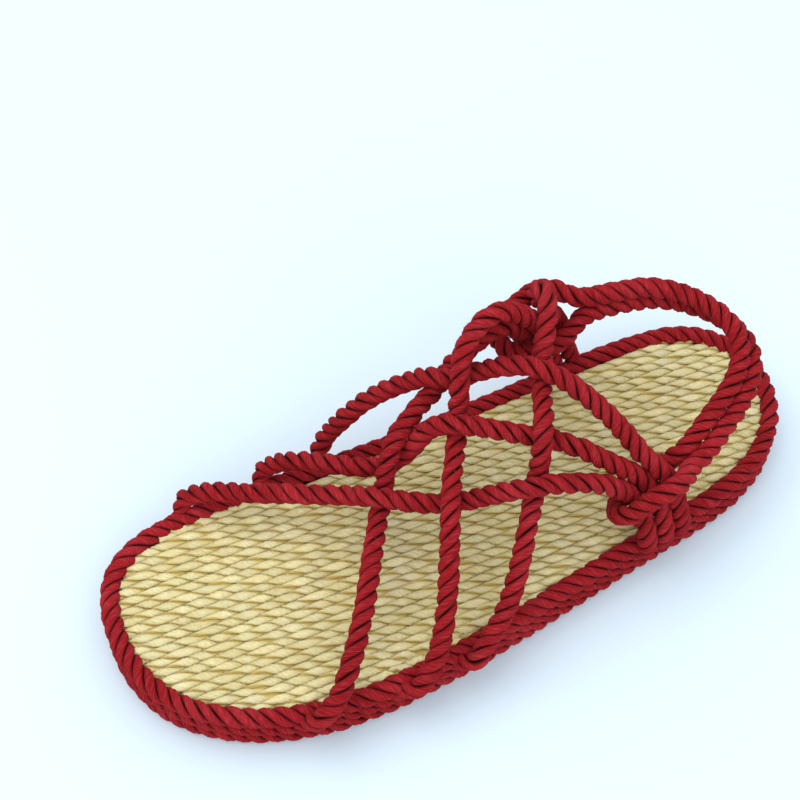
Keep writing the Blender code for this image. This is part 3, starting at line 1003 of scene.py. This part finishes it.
def deselect_all() -> None:
    """Leaves nothing selected and nothing active."""
    for item in bpy.context.view_layer.objects:
        item.select_set(False)
    bpy.context.view_layer.objects.active = None


def hand_over(piece: bpy.types.Object, slot: str, *nodes: str) -> None:
    """Puts a finished piece in the frame.

    Args:
        piece: the piece.
        slot: the record's material slot; not used.
        nodes: the CAD nodes that it stands for.
    """
    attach(piece, "root")
    if nodes:
        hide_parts(*nodes)
    piece.data.calc_loop_triangles()
    LOG.info("%s: %d triangles", piece.name, len(piece.data.loop_triangles))


@dataclass
class LaidPart:
    """A part of the sandal that is laid along the settled lines.

    Attributes:
        lines: the sandal's centre lines.
        shift: from those lines to the frame.
    """

    lines: SandalLines
    shift: Array

    def in_frame(self, route: Array, make: RopeMake, closed: bool) -> Array:
        """A route in the frame, with a point for each face along a rope of this make."""
        return respace(route, make.step, closed) + self.shift


@dataclass
class Rim(LaidPart):
    """The three rounds of red rope at the edge of the sole.

    Attributes:
        make: how the rope is laid.
        height: half of a round's height once it is pressed.
        phase_step: how many turns each round is ahead of the one under it.
        seed: what the bottom round's unevenness is drawn from.
    """

    make: RopeMake = RIM_ROPE
    height: float = 3.28
    phase_step: float = 0.29
    seed: int = 11

    def build(self, material: Material) -> None:
        """Builds and hands over one piece for each round."""
        flat = self.height / (self.make.offset + self.make.thick)
        names = ("bottom", "middle", "top")
        for number, (name, level) in enumerate(zip(names, RIM_LEVELS)):
            path = self.in_frame(self.lines.rim, self.make, True)
            path[:, 2] = level
            phase = self.phase_step * number
            laid = StrandMesh()
            laid.add_rope(level_frames(path, True), self.make, phase, self.seed + number, flat)
            piece = laid.build(f"rim_{name}_rope", material)
            hand_over(piece, "red_rope", f"rim_rope_{name}")


@dataclass
class Net(LaidPart):
    """The upper: six runs of rope, laced over and under each other.

    Attributes:
        make: how the rope is laid.
        end_thickness: how thick a run is where the rim pinches it, as a share of the whole.
        end_length: how far from its end a run is back to its full thickness.
        phase_step: how many turns each run is ahead of the one before.
        seed: what the first run's unevenness is drawn from.
    """

    make: RopeMake = RED_ROPE
    end_thickness: float = 0.7
    end_length: float = 17.0
    phase_step: float = 0.37
    seed: int = 31

    def pinch(self, path: Array) -> Array:
        """A run's thickness at each of its points, as a share of the whole."""
        run = run_lengths(path)
        part = np.clip(np.minimum(run, run[-1] - run) / self.end_length, 0, 1)
        return self.end_thickness + (1 - self.end_thickness) * part**2 * (3 - 2 * part)

    def build(self, material: Material) -> None:
        """Builds the runs as one piece, and hands it over."""
        laid = StrandMesh()
        for number, route in enumerate(self.lines.straps):
            path = self.in_frame(route, self.make, False)
            frames = carried_frames(path, False)
            phase, seed = self.phase_step * number, self.seed + number
            laid.add_rope(frames, self.make, phase, seed, press=self.pinch(path))
        hand_over(laid.build("laced_net", material), "red_rope", "strap_net")


@dataclass
class HeelStrap(LaidPart):
    """One loop of rope, folded double behind the heel.

    Attributes:
        make: how the rope is laid.
        phase: where its first strand starts, in turns.
        seed: what its unevenness is drawn from.
    """

    make: RopeMake = RED_ROPE
    phase: float = 0.1
    seed: int = 51

    def build(self, material: Material) -> None:
        """Builds the loop and hands it over."""
        laid = StrandMesh()
        path = self.in_frame(self.lines.heel, self.make, True)
        laid.add_rope(carried_frames(path, True), self.make, self.phase, self.seed)
        hand_over(laid.build("doubled_heel_loop", material), "red_rope", "heel_strap")


class MatFace(NamedTuple):
    """One face of the mat.

    level is the height of its rows' centre lines, and edge_level that of the cord which runs round
    under their ends. bend is how far the ends of the rows bend up.
    """

    piece: str
    node: str
    cord: RopeMake
    level: float
    edge_level: float
    bend: float
    seed: int


MAT_FACES = (
    MatFace("footbed_cords", "footbed", MAT_CORD, FOOTBED_LEVEL, FOOTBED_LEVEL - 1.6, -0.6, 100),
    MatFace("outsole_cords", "outsole", SOLE_CORD, ROW_HALF_HEIGHT, 3.0, 0.6, 200),
)


@dataclass
class CordMat(LaidPart):
    """The mat inside the rim: rows of cord on both faces, and the filling between them.

    Attributes:
        tuck: how far the rows run in under the rim.
        bend_length: how far from its end a row starts to bend.
        shortest_row: a row that would be shorter than this is left out.
        bob: how far the rows wander up and down.
        sway: how far they wander sideways.
        edge_inset: from the rim's inner edge to the cord that runs round under the rows' ends.
        filling_inset: how far the filling lies under either face.
        filling_step: the length of a face of the filling's wall.
    """

    tuck: float = 1.8
    bend_length: float = 4.0
    shortest_row: float = 12.0
    bob: float = 0.12
    sway: float = 0.1
    edge_inset: float = 1.7
    filling_inset: float = 1.5
    filling_step: float = 8.0

    def outline(self, inset: float) -> Array:
        """The rim's centre line moved inwards, as points seen from above."""
        forwards = forward_directions(self.lines.rim, True)
        outward = np.stack([-forwards[:, 1], forwards[:, 0]], axis=1)
        outward *= np.sign((outward * self.lines.rim[:, :2]).sum())
        return self.lines.rim[:, :2] - outward * inset

    @staticmethod
    def inside_span(outline: Array, across: float) -> tuple[float, float]:
        """Where a straight row at this place across enters and leaves an outline, or 0, 0."""
        near, far = outline, np.roll(outline, -1, axis=0)
        cross = (near[:, 0] - across) * (far[:, 0] - across) <= 0
        if cross.sum() < 2:
            return 0.0, 0.0
        near, far = near[cross], far[cross]
        share = (across - near[:, 0]) / np.where(far[:, 0] == near[:, 0], 1e-9, far[:, 0] - near[:, 0])
        along = near[:, 1] + share * (far[:, 1] - near[:, 1])
        return along.min(), along.max()

    def rows(self, face: MatFace) -> StrandMesh:
        """Lays every row of one face."""
        laid = StrandMesh()
        outline = self.outline(RIM_HALF_WIDTH + GAP - self.tuck)
        draw = np.random.default_rng(face.seed)
        flat = ROW_HALF_HEIGHT / (face.cord.offset + face.cord.thick)
        for row in range(CORD_ROWS):
            across = (row + 0.5 - CORD_ROWS / 2) * CORD_PITCH
            low, high = self.inside_span(outline, across)
            if high - low < self.shortest_row:
                continue
            along = np.linspace(low, high, max(8, round((high - low) / face.cord.step)))
            from_end = np.minimum(along - low, high - along)
            height = face.level + face.bend * np.clip(1 - from_end / self.bend_length, 0, 1) ** 2
            place = (along - low) / (high - low)
            height = height + self.bob * wave_sum(place, draw, False)
            sway = self.sway * wave_sum(place, draw, False)
            frames = level_frames(np.stack([across + sway, along, height], axis=1) + self.shift, False)
            laid.add_rope(frames, face.cord, draw.random(), face.seed + row + 1, flat)
        return laid

    def edge_cord(self, laid: StrandMesh, face: MatFace) -> None:
        """Adds the cord that runs round under the ends of a face's rows."""
        outline = self.outline(RIM_HALF_WIDTH + GAP + self.edge_inset)
        loop = np.column_stack([outline, np.full(len(outline), face.edge_level)])
        frames = level_frames(self.in_frame(loop, face.cord, True), True)
        laid.add_rope(frames, face.cord, 0.0, face.seed + EDGE_SEED)

    def filling(self, material: Material) -> bpy.types.Object:
        """Models the filling by hand: a disc drawn to the mat's outline, and pulled up."""
        deselect_all()
        edge = self.outline(RIM_HALF_WIDTH + GAP)
        outline = respace(np.column_stack([edge, np.zeros(len(edge))]), self.filling_step, True)
        bpy.ops.mesh.primitive_circle_add(vertices=len(outline), radius=0.1, fill_type="NGON")
        piece = bpy.context.active_object
        piece.name = piece.data.name = "shaded_mat_filling"
        points = (outline + self.shift) * MM
        points[:, 2] = self.filling_inset * MM
        for vertex, point in zip(piece.data.vertices, points):
            vertex.co = point
        piece.data.materials.append(material)
        bpy.ops.object.mode_set(mode="EDIT")
        bpy.ops.mesh.select_all(action="SELECT")
        rise = (MAT_TOP - 2 * self.filling_inset) * MM
        bpy.ops.mesh.extrude_region_move(TRANSFORM_OT_translate={"value": (0.0, 0.0, rise)})
        bpy.ops.mesh.select_all(action="SELECT")
        bpy.ops.mesh.normals_make_consistent(inside=False)
        bpy.ops.object.mode_set(mode="OBJECT")
        deselect_all()
        return piece

    def build(self, straw: Material, filling: Material) -> None:
        """Builds and hands over the footbed, the outsole and the filling."""
        for face in MAT_FACES:
            laid = self.rows(face)
            self.edge_cord(laid, face)
            hand_over(laid.build(face.piece, straw), "straw_cord", face.node)
        hand_over(self.filling(filling), "straw_cord")


class Lamp(NamedTuple):
    """A soft round light, aimed at the sandal."""

    name: str
    place: tuple
    size: float
    power: float
    tint: tuple


LAMPS = (
    Lamp("key_light", (0.35, 0.45, 1.5), 1.4, 8.0, (1.0, 0.98, 0.95)),
    Lamp("fill_light", (-1.1, 0.2, 0.9), 1.2, 4.0, (0.93, 0.96, 1.0)),
)


@dataclass
class Studio:
    """The floor, the lights and the camera.

    Attributes:
        shift: from the sandal's own lines to the frame, in millimetres.
        camera_at: where the camera is, from the sandal's own lines.
        aim: a point on its axis.
        roll: how far it is turned on its axis, in degrees.
        focal: its focal length in picture widths.
        floor_size: the width of the floor, in metres.
        floor_tones: its two colours, which are nearly the same.
        room_colour: the colour of the light from all round.
        room_strength: how strong that light is.
    """

    shift: Array
    camera_at: tuple = (-238.8, 145.2, 540.2)
    aim: tuple = (67.5, -5.0, 0.0)
    roll: float = 0.73
    focal: float = 1612.66 / 800
    floor_size: float = 6.0
    floor_tones: tuple[Colour, Colour] = ((0.69, 0.80, 0.86, 1.0), (0.71, 0.83, 0.89, 1.0))
    room_colour: Colour = (0.86, 0.92, 1.0, 1.0)
    room_strength: float = 1.15

    def floor(self) -> None:
        """A plain pale floor."""
        deselect_all()
        bpy.ops.mesh.primitive_plane_add(size=self.floor_size, location=(0.0, 0.0, 0.0))
        floor = bpy.context.active_object
        floor.name = "floor"
        sheet = NodeSheet("pale_floor")
        solid = sheet.add("ShaderNodeTexCoord").outputs["Object"]
        tone = sheet.noise(solid, (3.0, 3.0, 3.0), 1.0)
        colour = sheet.ramp(tone, tuple(zip((0.3, 0.7), self.floor_tones)))
        sheet.link(colour, sheet.shader.inputs["Base Color"])
        sheet.put(sheet.shader, {"Roughness": 0.6, "Specular IOR Level": 0.2})
        floor.data.materials.append(sheet.material)
        deselect_all()

    def lights(self) -> None:
        """Soft light from above, a weaker one from the side, and a pale room."""
        for lamp in LAMPS:
            place = Vector(lamp.place)
            bpy.ops.object.light_add(type="AREA", location=place)
            light = bpy.context.active_object
            light.name = lamp.name
            light.data.shape = "DISK"
            light.data.size = lamp.size
            light.data.energy = lamp.power
            light.data.color = lamp.tint
            towards = Vector((0.0, 0.0, 0.03)) - place
            light.rotation_euler = towards.to_track_quat("-Z", "Y").to_euler()
        world = bpy.data.worlds.new("pale_room")
        world.use_nodes = True
        back = world.node_tree.nodes["Background"].inputs
        back["Color"].default_value = self.room_colour
        back["Strength"].default_value = self.room_strength
        bpy.context.scene.world = world
        bpy.context.scene.view_settings.view_transform = "Standard"

    def camera(self) -> None:
        """The camera, at the place that the photograph was taken from."""
        eye = Vector((np.array(self.camera_at) + self.shift) * MM)
        aim = Vector((np.array(self.aim) + self.shift) * MM)
        forward = (aim - eye).normalized()
        level = forward.cross(Vector((0.0, 0.0, 1.0))).normalized()
        upward = level.cross(forward)
        lean = math.radians(self.roll)
        right = math.cos(lean) * level + math.sin(lean) * upward
        top = math.cos(lean) * upward - math.sin(lean) * level
        bpy.ops.object.camera_add()
        camera = bpy.context.active_object
        camera.name = "photo_camera"
        turned = Matrix((right, top, -forward)).transposed().to_4x4()
        camera.matrix_world = Matrix.Translation(eye) @ turned
        camera.data.sensor_width = 36.0
        camera.data.lens = self.focal * camera.data.sensor_width
        camera.data.clip_start = 0.01
        camera.data.clip_end = 20.0
        bpy.context.scene.camera = camera

    def build(self) -> None:
        """Sets up everything around the sandal."""
        self.floor()
        self.lights()
        self.camera()


def main() -> None:
    """Builds the sub-assemblies in order, and the studio round them."""
    logging.basicConfig(level=logging.INFO, format="%(name)s %(message)s")
    lines = SandalLines()
    shift = lines.shift()
    LOG.info("shift %s", np.round(shift, 3).tolist())
    studio = Studio(shift)
    studio.build()
    red = RED_FINISH.material()
    straw = STRAW_FINISH.material()
    CordMat(lines, shift).build(straw, ShadedFillingFinish().material())
    Rim(lines, shift).build(red)
    Net(lines, shift).build(red)
    HeelStrap(lines, shift).build(red)


if __name__ == "__main__":
    main()
